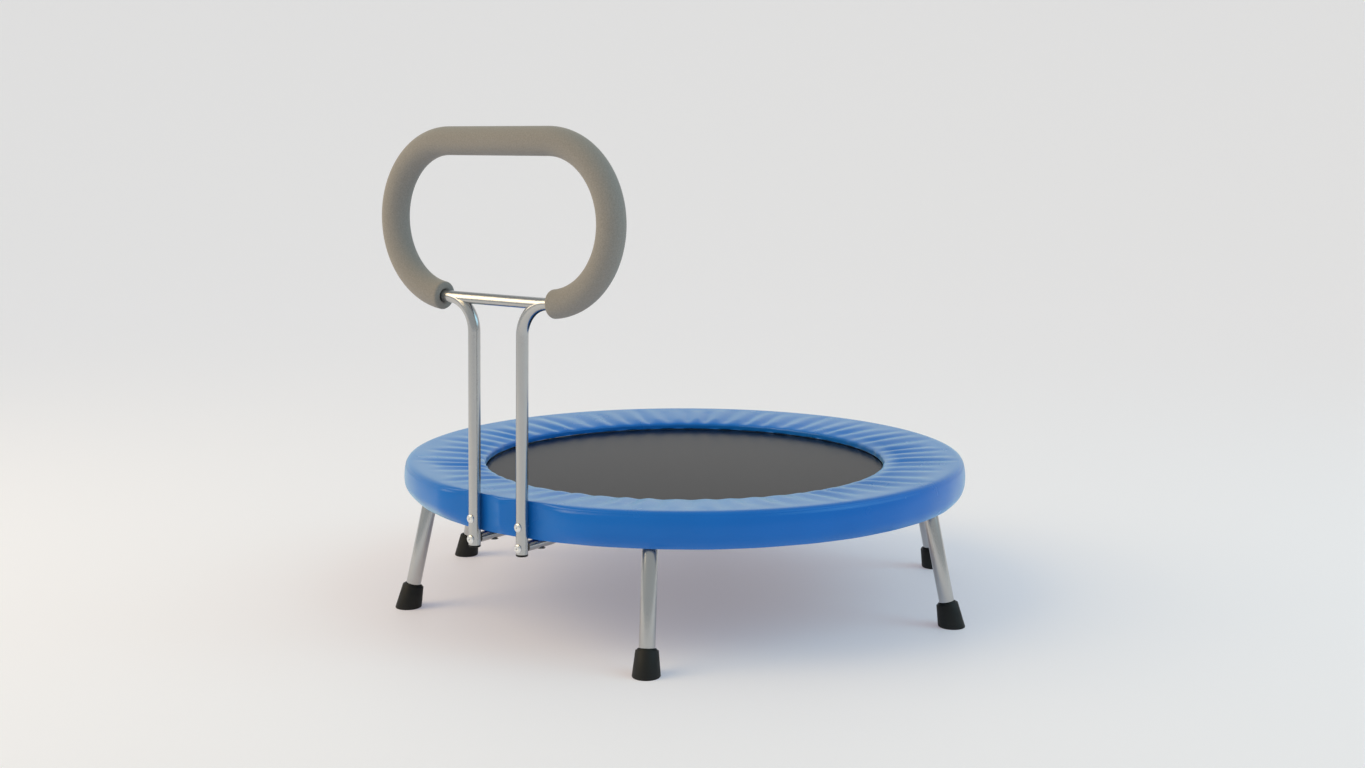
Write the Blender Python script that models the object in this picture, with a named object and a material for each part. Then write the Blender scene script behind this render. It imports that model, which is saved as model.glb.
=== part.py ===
# A mini trampoline with a padded handle: a round steel frame on six splayed legs, a sprung mat,
# a padded cover over the springs, and a bent-tube handle bolted to the frame.
# Metres, +Z up. The handle stands on the -Y side. Angles round the frame are measured
# anticlockwise from the handle, seen from above.

import math

import bmesh
import bpy
from mathutils import Matrix, Vector

# Clearance between pieces that touch or fit each other.
GAP = 0.0003

# Frame ring: a round steel tube.
RING_RADIUS = 0.448
RING_HEIGHT = 0.2137
TUBE_RADIUS = 0.0125

# Legs: tubes pushed over studs that are welded under the ring.
LEG_ANGLES = [math.radians(a) for a in (-39.3, 29.8, 99.6, 146.0, 209.8, 276.9)]
LEG_SPLAY = math.radians(12.5)
LEG_RADIUS = 0.0125
LEG_WALL = 0.0012
STUD_LENGTH = 0.040
STUD_PLAY = 0.0006

# Rubber feet: leaning ferrules, cut flat on the floor.
FOOT_HEIGHT = 0.040
FOOT_TOP_RADIUS = 0.018
FOOT_BASE_RADIUS = 0.0222
FOOT_SOLE = 0.012
FOOT_LIP = 0.0022

# Springs, each hooked into a hole in the ring and onto a V-ring of the mat.
SPRING_COUNT = 24
SPRING_LENGTH = 0.066
COIL_RADIUS = 0.0045
COIL_INSET = 0.016
SPRING_WIRE = 0.0011
HOOK_RADIUS = 0.0036
SPRING_TAIL = 0.0085
HOLE_INSET = 0.005

# Jumping mat with its sewn webbing hem.
V_RING_WIRE = 0.0015
V_RING_REACH = 0.0115
V_RING_TIP = 0.003
V_RING_FOOT = 0.012
V_RING_ROOT = 0.008
HEM_WIDTH = 0.025
HEM_THICKNESS = 0.0034
MAT_MARGIN = 0.0073
MAT_THICKNESS = 0.0012

# Padded cover over the springs: a foam ring in a vinyl skin whose side swells outwards.
PAD_OVERLAP = 0.0068
PAD_THICKNESS = 0.0199
PAD_EDGE_RISE = 0.0068
PAD_SHOULDER = 0.0055
PAD_HEM = 0.036
PAD_BULGE = 0.0115
PINCH_REACH = 0.100
SEAM_REACH = 0.0045
SEAM_DROP = 0.0068
CROWN_INSET = 0.011
CROWN_POWER = 0.43
CROWN_MIDDLE = 0.33
FOAM_SETBACK = 0.020
FOAM_BAND = 0.0174
FOAM_BAND_DROP = 0.004
COVER_THICKNESS = 0.0015
SKIRT_BELOW_RING = 0.0082
GATHER_DEPTH = 0.0018

# Handle: two uprights that bend outwards into a loop, with a straight crossbar.
HANDLE_RADIUS = 0.0095
UPRIGHT_SPACING = 0.100
CROSSBAR_RADIUS = 0.009
CROSSBAR_HEIGHT = 0.5586
SHOULDER_BEND = 0.052
LOOP_RADIUS = 0.120
HANDLE_LEAN = math.radians(1.17)
GRIP_RADIUS = 0.022
GRIP_END = math.radians(5)

# Brace: one bent tube under the ring that ties the feet of the uprights together.
BRACE_RADIUS = 0.008
BRACE_BELOW_SKIRT = 0.004
BRACE_BEND = 0.030
BRACE_MAT_CLEARANCE = 0.008
UPRIGHT_BELOW_BRACE = 0.0098
SADDLE_WIDTH = 0.016
SADDLE_DEPTH = 0.026
SADDLE_WRAP = 0.003

# Dome-head bolts and the black plugs in the ends of the uprights.
BOLT_RADIUS = 0.003
BOLT_HEAD_RADIUS = 0.0067
BOLT_HEAD_HEIGHT = 0.0042
BOLT_LENGTH = 0.034
BOSS_RADIUS = 0.0065
PLUG_DEPTH = 0.0055
PLUG_RIM = 0.0035
PLUG_WALL = 0.0018

# Faces round each form.
RING_SEGMENTS = 52
RING_SIDES = 10
TUBE_SIDES = 12
WIRE_SIDES = 6
V_RING_SIDES = 4
HOOK_STEPS = 4
HOLE_SIDES = 10
BEND_STEPS = 4
LOOP_STEPS = 11

# Sizes that follow from the ones above.
HALF_SPACING = UPRIGHT_SPACING / 2
LEG_AXIS_LENGTH = RING_HEIGHT / math.cos(LEG_SPLAY)
SPRING_Z = RING_HEIGHT + TUBE_RADIUS + SPRING_WIRE + GAP
SPRING_HOLE_RADIUS = RING_RADIUS - HOLE_INSET
V_RING_RADIUS = SPRING_HOLE_RADIUS - SPRING_LENGTH
HEM_RADIUS = V_RING_RADIUS - V_RING_REACH
MAT_RADIUS = HEM_RADIUS - MAT_MARGIN
MAT_BOTTOM = SPRING_Z + HEM_THICKNESS / 2 + GAP
PAD_BOTTOM = SPRING_Z + COIL_RADIUS + GAP
PAD_TOP = PAD_BOTTOM + PAD_THICKNESS
PAD_EDGE = PAD_BOTTOM + PAD_EDGE_RISE
FOAM_BORE = RING_RADIUS + TUBE_RADIUS + GAP
SKIRT_RADIUS = FOAM_BORE + FOAM_BAND + GAP + COVER_THICKNESS
PAD_INNER_RADIUS = MAT_RADIUS - PAD_OVERLAP
PAD_CROWN_RADIUS = SKIRT_RADIUS - CROWN_INSET
SKIRT_BOTTOM = RING_HEIGHT - TUBE_RADIUS - SKIRT_BELOW_RING
SHOULDER_HEIGHT = PAD_TOP - PAD_SHOULDER
SEAM_RADIUS = SKIRT_RADIUS + SEAM_REACH
SEAM_HEIGHT = PAD_TOP - SEAM_DROP
BULGE_RADIUS = SKIRT_RADIUS + PAD_BULGE
BULGE_HEIGHT = (SEAM_HEIGHT + SKIRT_BOTTOM) / 2
HANDLE_Y = -(math.sqrt(SKIRT_RADIUS**2 - HALF_SPACING**2) + GAP + HANDLE_RADIUS)
BRACE_HEIGHT = SKIRT_BOTTOM - BRACE_BELOW_SKIRT - BRACE_RADIUS
BRACE_CROSS_Y = -(V_RING_RADIUS + V_RING_WIRE + BRACE_MAT_CLEARANCE + BRACE_RADIUS)
UPRIGHT_BOTTOM = BRACE_HEIGHT - UPRIGHT_BELOW_BRACE
SADDLE_Y = -math.sqrt(RING_RADIUS**2 - HALF_SPACING**2)
BOLT_HOLE_RADIUS = (BOLT_RADIUS + GAP) / math.cos(math.pi / HOLE_SIDES)


def material(name, colour, roughness, metallic=0.0):
    made = bpy.data.materials.new(name)
    made.use_nodes = True
    shader = made.node_tree.nodes["Principled BSDF"]
    shader.inputs["Base Color"].default_value = (*colour, 1.0)
    shader.inputs["Roughness"].default_value = roughness
    shader.inputs["Metallic"].default_value = metallic
    return made


def node(name, mesh, finish, parent, location=(0, 0, 0), rotation=(0, 0, 0)):
    # One visible piece, placed by its location and rotation under its parent.
    piece = bpy.data.objects.new(name, mesh)
    bpy.context.scene.collection.objects.link(piece)
    if not mesh.materials:
        mesh.materials.append(finish)
    piece.parent = parent
    piece.location = location
    piece.rotation_euler = rotation
    return piece


def tool(name, bm, parent):
    # A hidden solid that a Boolean adds or cuts away.
    piece = bpy.data.objects.new(name, finished(name, bm))
    bpy.context.scene.collection.objects.link(piece)
    piece.parent = parent
    piece.hide_render = True
    piece.display_type = "WIRE"
    return piece


def boolean(piece, other, operation):
    step = piece.modifiers.new(operation.lower(), "BOOLEAN")
    step.operation = operation
    step.object = other


def finished(name, bm, sharp_angle=math.radians(40)):
    # The mesh of a bmesh, its faces turned outwards, smooth apart from its sharp edges.
    bmesh.ops.recalc_face_normals(bm, faces=bm.faces[:])
    mesh = bpy.data.meshes.new(name)
    bm.to_mesh(mesh)
    bm.free()
    mesh.shade_smooth()
    mesh.set_sharp_from_angle(angle=sharp_angle)
    return mesh


def turned(profile, segments, closed=False):
    # A profile of (radius, height) points turned about Z.
    bm = bmesh.new()
    points = [bm.verts.new((radius, 0, height)) for radius, height in profile]
    edges = [bm.edges.new(pair) for pair in zip(points, points[1:])]
    if closed:
        edges.append(bm.edges.new((points[-1], points[0])))
    bmesh.ops.spin(
        bm,
        geom=points + edges,
        cent=(0, 0, 0),
        axis=(0, 0, 1),
        angle=2 * math.pi,
        steps=segments,
        use_merge=True,
    )
    bmesh.ops.remove_doubles(bm, verts=bm.verts[:], dist=1e-6)
    return bm


def sweep(path, radii, sides, normal, bore=None):
    # A round tube along a flat path, mitred at each station; normal is square to the path's plane.
    # With a bore, the tube is hollow and open at both ends.
    bm = bmesh.new()
    outer, inner = [], []
    for i, point in enumerate(path):
        after = (path[min(i + 1, len(path) - 1)] - point).normalized()
        before = (point - path[max(i - 1, 0)]).normalized()
        tangent = (before + after).normalized()
        across = tangent.cross(normal) / max(tangent.dot(after), tangent.dot(before))
        for loops, radius in ((outer, radii[i]), (inner, bore)):
            if radius is None:
                continue
            turns = [2 * math.pi * (k + 0.5) / sides for k in range(sides)]
            spokes = [normal * math.cos(a) + across * math.sin(a) for a in turns]
            loops.append([bm.verts.new(point + radius * spoke) for spoke in spokes])
    for loops in (outer, inner):
        for first, second in zip(loops, loops[1:]):
            for k in range(sides):
                n = (k + 1) % sides
                bm.faces.new((first[k], first[n], second[n], second[k]))
    for end in (0, -1):
        if bore is None:
            bm.faces.new(outer[end])
            continue
        for k in range(sides):
            n = (k + 1) % sides
            bm.faces.new((outer[end][k], outer[end][n], inner[end][n], inner[end][k]))
    return bm


def add_rod(bm, start, end, radius, sides=HOLE_SIDES):
    # A straight round bar between two points.
    start, end = Vector(start), Vector(end)
    along = end - start
    turn = along.to_track_quat("Z", "Y").to_matrix().to_4x4()
    turn.translation = (start + end) / 2
    bmesh.ops.create_cone(
        bm,
        cap_ends=True,
        segments=sides,
        radius1=radius,
        radius2=radius,
        depth=along.length,
        matrix=turn,
    )


def arc(centre, radius, start, end, steps):
    # Points of an arc in the XZ plane, both ends included; angles from +X towards +Z.
    turns = [start + (end - start) * k / steps for k in range(steps + 1)]
    return [centre + radius * Vector((math.cos(a), 0, math.sin(a))) for a in turns]


def around(angle, radius, height):
    # The point at this angle from the handle and this distance from the frame's centre.
    return Vector((radius * math.sin(angle), -radius * math.cos(angle), height))


def leg_point(angle, distance):
    # A point on a leg's axis, this far below the ring's centreline.
    outward = RING_RADIUS + distance * math.sin(LEG_SPLAY)
    return around(angle, outward, RING_HEIGHT - distance * math.cos(LEG_SPLAY))


def spring_angles():
    return [2 * math.pi * (k + 0.5) / SPRING_COUNT for k in range(SPRING_COUNT)]


def upright_face(height, side):
    # The Y of an upright's flat at this height: its outer flat for side -1, its inner one for 1.
    half = HANDLE_RADIUS * math.cos(math.pi / TUBE_SIDES) / math.cos(HANDLE_LEAN)
    return HANDLE_Y - (SHOULDER_HEIGHT - height) * math.tan(HANDLE_LEAN) + side * half


def bolt_seat(height):
    # The Y where the head of a bolt through an upright sits.
    return upright_face(height, -1) - GAP


def saddle_bolt_tip():
    return RING_HEIGHT + 0.25 * TUBE_RADIUS


def tube_section(radius):
    # The ring's round section, as (radius, height) points about the frame's axis.
    turns = [2 * math.pi * (k + 0.5) / RING_SIDES for k in range(RING_SIDES)]
    return [
        (RING_RADIUS + radius * math.cos(a), RING_HEIGHT + radius * math.sin(a)) for a in turns
    ]


def make_ring(steel, parent):
    # The ring with its leg studs and handle bosses welded on, and its spring and bolt holes.
    tube = finished("frame_ring", turned(tube_section(TUBE_RADIUS), RING_SEGMENTS, True))
    ring = node("frame_ring", tube, steel, parent)
    welded = bmesh.new()
    stud_radius = LEG_RADIUS - LEG_WALL - STUD_PLAY
    for angle in LEG_ANGLES:
        end = leg_point(angle, TUBE_RADIUS + STUD_LENGTH)
        add_rod(welded, leg_point(angle, 0), end, stud_radius, TUBE_SIDES)
    skirt_inside = (SKIRT_RADIUS - COVER_THICKNESS) * math.cos(math.pi / RING_SEGMENTS)
    boss_end = -math.sqrt(skirt_inside**2 - (HALF_SPACING + BOSS_RADIUS) ** 2) + GAP
    holes = bmesh.new()
    for side in (-HALF_SPACING, HALF_SPACING):
        add_rod(welded, (side, SADDLE_Y, RING_HEIGHT), (side, boss_end, RING_HEIGHT), BOSS_RADIUS)
        hole_end = bolt_seat(RING_HEIGHT) + BOLT_LENGTH + GAP
        start = (side, boss_end - TUBE_RADIUS, RING_HEIGHT)
        add_rod(holes, start, (side, hole_end, RING_HEIGHT), BOLT_HOLE_RADIUS)
        start = (side, SADDLE_Y, RING_HEIGHT - 2 * TUBE_RADIUS)
        add_rod(holes, start, (side, SADDLE_Y, saddle_bolt_tip() + GAP), BOLT_HOLE_RADIUS)
    hole = (SPRING_WIRE + GAP) / math.cos(math.pi / WIRE_SIDES)
    for angle in spring_angles():
        bottom = around(angle, SPRING_HOLE_RADIUS, SPRING_Z - SPRING_TAIL - GAP)
        top = around(angle, SPRING_HOLE_RADIUS, RING_HEIGHT + 2 * TUBE_RADIUS)
        add_rod(holes, bottom, top, hole, WIRE_SIDES)
    boolean(ring, tool("ring_welded_studs", welded, parent), "UNION")
    boolean(ring, tool("ring_holes", holes, parent), "DIFFERENCE")


def make_legs(steel, rubber, parent):
    # Straight tubes on the studs, each with a rubber foot that leans with it and stands flat.
    down = Vector((0, 0, -1))
    top = TUBE_RADIUS + GAP
    bottom = LEG_AXIS_LENGTH - FOOT_SOLE
    path, square = [down * top, down * bottom], Vector((0, 1, 0))
    tube = sweep(path, [LEG_RADIUS] * 2, TUBE_SIDES, square, LEG_RADIUS - LEG_WALL)
    leg_mesh = finished("leg", tube)
    foot_mesh = foot()
    for number, angle in enumerate(LEG_ANGLES, 1):
        place = around(angle, RING_RADIUS, RING_HEIGHT)
        turn = (0, -LEG_SPLAY, angle - math.pi / 2)
        node(f"leg_{number}", leg_mesh, steel, parent, place, turn)
        node(f"foot_{number}", foot_mesh, rubber, parent, place, turn)


def foot():
    # A tapered ferrule round the leg's axis, with a lip round its socket; the floor cuts it off.
    lean = FOOT_BASE_RADIUS * math.tan(LEG_SPLAY)
    socket = (LEG_RADIUS + GAP) / math.cos(math.pi / TUBE_SIDES)
    floor = -LEG_AXIS_LENGTH
    top = floor + FOOT_HEIGHT
    flare = (FOOT_BASE_RADIUS - FOOT_TOP_RADIUS) / FOOT_HEIGHT
    profile = [
        (0, floor + FOOT_SOLE - GAP),
        (socket, floor + FOOT_SOLE - GAP),
        (socket, top + FOOT_LIP),
        (socket + FOOT_LIP, top + FOOT_LIP),
        (FOOT_TOP_RADIUS - FOOT_LIP / 2, top),
        (FOOT_TOP_RADIUS, top - FOOT_LIP / 2),
        (FOOT_BASE_RADIUS + flare * lean * 1.5, floor - lean * 1.5),
        (0, floor - lean * 1.5),
    ]
    bm = turned(profile, TUBE_SIDES)
    half_side = Matrix.Rotation(math.pi / TUBE_SIDES, 3, "Z")
    bmesh.ops.rotate(bm, verts=bm.verts[:], cent=(0, 0, 0), matrix=half_side)
    upright = Vector((math.sin(LEG_SPLAY), 0, math.cos(LEG_SPLAY)))
    cut = bmesh.ops.bisect_plane(
        bm,
        geom=bm.verts[:] + bm.edges[:] + bm.faces[:],
        plane_co=(0, 0, floor),
        plane_no=upright,
        clear_inner=True,
    )
    rim = [edge for edge in cut["geom_cut"] if isinstance(edge, bmesh.types.BMEdge)]
    bmesh.ops.contextual_create(bm, geom=rim)
    return finished("foot", bm)


def make_mat(fabric, webbing, parent):
    # The mat lies on its webbing hem; a steel V-ring for each spring is sewn into the hem.
    disc = bmesh.new()
    add_rod(disc, (0, 0, 0), (0, 0, MAT_THICKNESS), MAT_RADIUS, RING_SEGMENTS)
    node("mat", finished("mat", disc), fabric, parent, (0, 0, MAT_BOTTOM))
    half = HEM_THICKNESS / 2
    inner = HEM_RADIUS - HEM_WIDTH
    band = [(inner, -half), (HEM_RADIUS, -half), (HEM_RADIUS, half), (inner, half)]
    hem_mesh = finished("mat_hem", turned(band, RING_SEGMENTS, True))
    hem = node("mat_hem", hem_mesh, webbing, parent, (0, 0, SPRING_Z))
    rings = bmesh.new()
    root = HEM_RADIUS - V_RING_ROOT
    for angle in spring_angles():
        out, side = around(angle, 1, 0), around(angle + math.pi / 2, 1, 0)
        tip, foot_half = V_RING_RADIUS, V_RING_FOOT
        corners = ((root, -foot_half), (tip, -V_RING_TIP), (tip, V_RING_TIP), (root, foot_half))
        path = [out * distance + side * across for distance, across in corners]
        wire = sweep(path, [V_RING_WIRE] * 4, V_RING_SIDES, Vector((0, 0, 1)))
        add_mesh(rings, wire)
    boolean(hem, tool("hem_v_rings", rings, hem), "UNION")


def add_mesh(bm, other):
    # Copies one bmesh's solid into another.
    copy = bpy.data.meshes.new("copy")
    other.to_mesh(copy)
    other.free()
    bm.from_mesh(copy)
    bpy.data.meshes.remove(copy)


def make_springs(steel, parent):
    # Each spring is a close-wound coil with a hook round its V-ring and a tail down into the ring.
    inside = HOOK_RADIUS * math.cos(math.pi / 2 / HOOK_STEPS) - SPRING_WIRE - GAP
    hook = Vector((V_RING_RADIUS + inside - V_RING_WIRE, 0, 0))
    path = arc(hook, HOOK_RADIUS, math.radians(270), math.radians(90), HOOK_STEPS)
    radii = [SPRING_WIRE] * len(path)
    coil_start = hook.x + 2 * HOOK_RADIUS
    coil_end = SPRING_HOLE_RADIUS - COIL_INSET
    step = SPRING_WIRE / 2
    for x, radius in (
        (coil_start - step, SPRING_WIRE),
        (coil_start, COIL_RADIUS),
        (coil_end, COIL_RADIUS),
        (coil_end + step, SPRING_WIRE),
        (SPRING_HOLE_RADIUS, SPRING_WIRE),
    ):
        path.append(Vector((x, 0, 0)))
        radii.append(radius)
    path.append(Vector((SPRING_HOLE_RADIUS, 0, -SPRING_TAIL)))
    radii.append(SPRING_WIRE)
    mesh = finished("spring", sweep(path, radii, WIRE_SIDES, Vector((0, 1, 0))))
    for number, angle in enumerate(spring_angles(), 1):
        turn = (0, 0, angle - math.pi / 2)
        node(f"spring_{number:02d}", mesh, steel, parent, (0, 0, SPRING_Z), turn)


def crown(radius):
    # The height of the pad's top: it swells quickly from the inner edge, then flattens.
    share = (radius - PAD_INNER_RADIUS) / (PAD_CROWN_RADIUS - PAD_INNER_RADIUS)
    return PAD_EDGE + (PAD_TOP - PAD_EDGE) * share**CROWN_POWER


def top_points(first, drop, inset=0):
    # The pad's top from this radius out to its crown, this far below the skin.
    middle = PAD_INNER_RADIUS + CROWN_MIDDLE * (PAD_CROWN_RADIUS - PAD_INNER_RADIUS)
    return [
        (first, crown(first) - drop),
        (middle, crown(middle) - drop),
        (PAD_CROWN_RADIUS - inset, PAD_TOP - drop),
    ]


def cover_profile():
    # The skin from its hem on the springs, round the inner edge, over the top and down the skirt.
    return [
        (PAD_INNER_RADIUS + PAD_HEM, PAD_BOTTOM),
        (PAD_INNER_RADIUS, PAD_EDGE),
        *top_points(PAD_INNER_RADIUS + PAD_SHOULDER, 0),
        (SEAM_RADIUS, SEAM_HEIGHT),
        (BULGE_RADIUS, BULGE_HEIGHT),
        (SKIRT_RADIUS, SKIRT_BOTTOM),
    ]


def pinch(bm, radius, half_width):
    # The uprights are bolted through the pad, so there its side is held in to this radius.
    for vert in bm.verts:
        reach = math.hypot(*vert.co.xy)
        if abs(vert.co.x) < half_width and vert.co.y < 0 and reach > radius:
            vert.co.xy *= radius / reach


def make_cover(vinyl, parent):
    # The vinyl skin, gathered in radial folds that die out towards the skirt, one to each segment.
    bm = turned(cover_profile(), RING_SEGMENTS)

    def gathered(vert):
        return vert.co.z > PAD_EDGE - GAP and math.hypot(*vert.co.xy) < PAD_CROWN_RADIUS - GAP

    hoops = [edge for edge in bm.edges if all(gathered(vert) for vert in edge.verts)]
    hoops = [edge for edge in hoops if abs(edge.verts[0].co.z - edge.verts[1].co.z) < GAP / 2]
    halved = bmesh.ops.subdivide_edges(bm, edges=hoops, cuts=1)
    valleys = {item for item in halved["geom_inner"] if isinstance(item, bmesh.types.BMVert)}
    for vert in valleys:
        vert.co.xy /= math.cos(math.pi / RING_SEGMENTS)
    for vert in filter(gathered, bm.verts):
        share = (SKIRT_RADIUS - math.hypot(*vert.co.xy)) / (SKIRT_RADIUS - PAD_INNER_RADIUS)
        turn = math.atan2(vert.co.y, vert.co.x) * RING_SEGMENTS / (2 * math.pi)
        swell = 0.75 + 0.25 * math.sin(turn * 3.4)
        vert.co.z += GATHER_DEPTH * share * swell * (-1 if vert in valleys else 1)
    pinch(bm, SKIRT_RADIUS, PINCH_REACH)
    bmesh.ops.recalc_face_normals(bm, faces=bm.faces[:])
    bm.faces.ensure_lookup_table()
    skirt = max(bm.faces, key=lambda face: math.hypot(*face.calc_center_median().xy))
    centre = skirt.calc_center_median()
    if skirt.normal.dot(Vector((centre.x, centre.y, 0))) < 0:
        bmesh.ops.reverse_faces(bm, faces=bm.faces[:])
    mesh = bpy.data.meshes.new("pad_cover")
    bm.to_mesh(mesh)
    bm.free()
    mesh.shade_smooth()
    mesh.set_sharp_from_angle(angle=math.radians(50))
    cover = node("pad_cover", mesh, vinyl, parent)
    wall = cover.modifiers.new("wall", "SOLIDIFY")
    wall.thickness = COVER_THICKNESS
    wall.offset = -1
    wall.use_even_offset = True
    holes = bmesh.new()
    for side in (-HALF_SPACING, HALF_SPACING):
        ends = (side, HANDLE_Y, RING_HEIGHT), (side, SADDLE_Y, RING_HEIGHT)
        add_rod(holes, *ends, BOLT_HOLE_RADIUS + GAP)
    boolean(cover, tool("cover_bolt_holes", holes, parent), "DIFFERENCE")


def make_foam(foam, parent):
    # The foam ring inside the skin: thin at the mat, with a band down the outside of the ring.
    skin = COVER_THICKNESS + GAP
    fold = skin + GATHER_DEPTH + 2 * GAP
    aside = skin + GAP
    foot = RING_HEIGHT - FOAM_BAND_DROP
    foot_share = (foot - SKIRT_BOTTOM) / (BULGE_HEIGHT - SKIRT_BOTTOM)
    slope = (PAD_EDGE_RISE + GATHER_DEPTH) / PAD_HEM
    hem = PAD_INNER_RADIUS + PAD_HEM + slope * COVER_THICKNESS + GAP
    tip = PAD_INNER_RADIUS + FOAM_SETBACK
    under_tip = slope * (PAD_HEM - FOAM_SETBACK)
    profile = [
        (hem, PAD_BOTTOM),
        (hem, PAD_BOTTOM + skin + GAP),
        (tip, PAD_BOTTOM + skin + under_tip + GAP),
        *top_points(tip, fold, skin),
        (SEAM_RADIUS - aside, SEAM_HEIGHT - skin),
        (BULGE_RADIUS - aside, BULGE_HEIGHT),
        (SKIRT_RADIUS + foot_share * PAD_BULGE - aside, foot),
        (FOAM_BORE, foot),
        (FOAM_BORE, PAD_BOTTOM),
    ]
    padding = turned(profile, RING_SEGMENTS, True)
    pinch(padding, SKIRT_RADIUS - skin, 1.3 * PINCH_REACH)
    mesh = finished("pad_foam", padding)
    ring = node("pad_foam", mesh, foam, parent)
    holes = bmesh.new()
    for side in (-HALF_SPACING, HALF_SPACING):
        ends = (side, HANDLE_Y, RING_HEIGHT), (side, SADDLE_Y, RING_HEIGHT)
        add_rod(holes, *ends, BOSS_RADIUS + 2 * GAP)
    boolean(ring, tool("foam_boss_holes", holes, parent), "DIFFERENCE")


def loop_path():
    # The left half of the handle's bent tube in its own plane: an upright, its outward bend and
    # half of the loop. Returns the whole path's points, and how many each half's bend takes.
    bar = CROSSBAR_HEIGHT - SHOULDER_HEIGHT
    bend_centre = Vector((-HALF_SPACING - SHOULDER_BEND, 0, bar - SHOULDER_BEND))
    loop_centre = Vector((bend_centre.x, 0, bar + LOOP_RADIUS))
    quarter = math.pi / 2
    foot_end = [Vector((-HALF_SPACING, 0, UPRIGHT_BOTTOM - SHOULDER_HEIGHT))]
    bend = arc(bend_centre, SHOULDER_BEND, 0, quarter, BEND_STEPS)
    end = arc(loop_centre, LOOP_RADIUS, -quarter - GRIP_END, -3 * quarter, LOOP_STEPS)
    left = foot_end + bend + end
    right = [Vector((-point.x, 0, point.z)) for point in reversed(left)]
    return left + right, len(foot_end + bend)


def make_handle(steel, foam, rubber, parent):
    # The bent tube leans a little over the mat from where it passes the pad's shoulder.
    place, lean = (0, HANDLE_Y, SHOULDER_HEIGHT), (-HANDLE_LEAN, 0, 0)
    square = Vector((0, 1, 0))
    path, bare = loop_path()
    tube = finished("handle_frame", sweep(path, [HANDLE_RADIUS] * len(path), TUBE_SIDES, square))
    handle = node("handle_frame", tube, steel, parent, place, lean)
    bar = bmesh.new()
    reach = HALF_SPACING + SHOULDER_BEND
    bar_height = CROSSBAR_HEIGHT - SHOULDER_HEIGHT
    ends = [Vector((-reach, 0, bar_height)), Vector((reach, 0, bar_height))]
    add_mesh(bar, sweep(ends, [CROSSBAR_RADIUS] * 2, TUBE_SIDES, square))
    boolean(handle, tool("handle_crossbar", bar, handle), "UNION")

    bolt_holes = bmesh.new()
    for side in (-HALF_SPACING, HALF_SPACING):
        for z in (RING_HEIGHT, BRACE_HEIGHT):
            ends = [(side, HANDLE_Y + reach * HANDLE_RADIUS, z) for reach in (-2, 2)]
            add_rod(bolt_holes, *ends, BOLT_HOLE_RADIUS + GAP)
    boolean(handle, tool("handle_bolt_holes", bolt_holes, parent), "DIFFERENCE")

    plug_bores = bmesh.new()
    bottom = UPRIGHT_BOTTOM - SHOULDER_HEIGHT
    spigot = HANDLE_RADIUS - PLUG_WALL
    bore = (spigot + GAP) / math.cos(math.pi / TUBE_SIDES)
    for side in (-HALF_SPACING, HALF_SPACING):
        ends = [(side, 0, bottom + height) for height in (-PLUG_RIM, PLUG_DEPTH + GAP)]
        add_rod(plug_bores, *ends, bore, TUBE_SIDES)
    boolean(handle, tool("handle_plug_bores", plug_bores, handle), "DIFFERENCE")

    plug = [
        (0, PLUG_DEPTH),
        (spigot, PLUG_DEPTH),
        (spigot, -GAP),
        (HANDLE_RADIUS, -GAP),
        (HANDLE_RADIUS, 0.5 * PLUG_WALL - PLUG_RIM),
        (HANDLE_RADIUS - 0.5 * PLUG_WALL, -PLUG_RIM),
        (0, -PLUG_RIM),
    ]
    plug_mesh = finished("upright_plug", turned(plug, TUBE_SIDES))
    for name, side in (("left", -HALF_SPACING), ("right", HALF_SPACING)):
        node(f"upright_plug_{name}", plug_mesh, rubber, handle, (side, 0, bottom))

    covered = path[bare : len(path) - bare]
    radii = [GRIP_RADIUS] * len(covered)
    grip = sweep(covered, radii, TUBE_SIDES, square, HANDLE_RADIUS + 2 * GAP)
    node("grip_foam", finished("grip_foam", grip), foam, handle)


def make_brace(steel, plastic, parent):
    # A U of tube under the ring: its arms meet the uprights, saddles hold them off the ring.
    end_y = upright_face(BRACE_HEIGHT, 1) + GAP
    corner = Vector((-HALF_SPACING + BRACE_BEND, BRACE_CROSS_Y - BRACE_BEND, BRACE_HEIGHT))
    turns = [math.pi - math.pi / 2 * k / BEND_STEPS for k in range(BEND_STEPS + 1)]
    left = [Vector((-HALF_SPACING, end_y, BRACE_HEIGHT))]
    left += [corner + BRACE_BEND * Vector((math.cos(a), math.sin(a), 0)) for a in turns]
    path = left + [Vector((-p.x, p.y, p.z)) for p in reversed(left)]
    tube = sweep(path, [BRACE_RADIUS] * len(path), RING_SIDES, Vector((0, 0, 1)))
    brace = node("brace", finished("brace", tube), steel, parent)
    holes = bmesh.new()
    for side in (-HALF_SPACING, HALF_SPACING):
        hole_end = bolt_seat(BRACE_HEIGHT) + BOLT_LENGTH + GAP
        ends = (side, HANDLE_Y, BRACE_HEIGHT), (side, hole_end, BRACE_HEIGHT)
        add_rod(holes, *ends, BOLT_HOLE_RADIUS)
        ends = [(side, SADDLE_Y, BRACE_HEIGHT + reach * BRACE_RADIUS) for reach in (-2, 2)]
        add_rod(holes, *ends, BOLT_HOLE_RADIUS)
    boolean(brace, tool("brace_holes", holes, parent), "DIFFERENCE")
    for name, side in (("left", -HALF_SPACING), ("right", HALF_SPACING)):
        make_saddle(name, side, plastic, parent)


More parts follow.
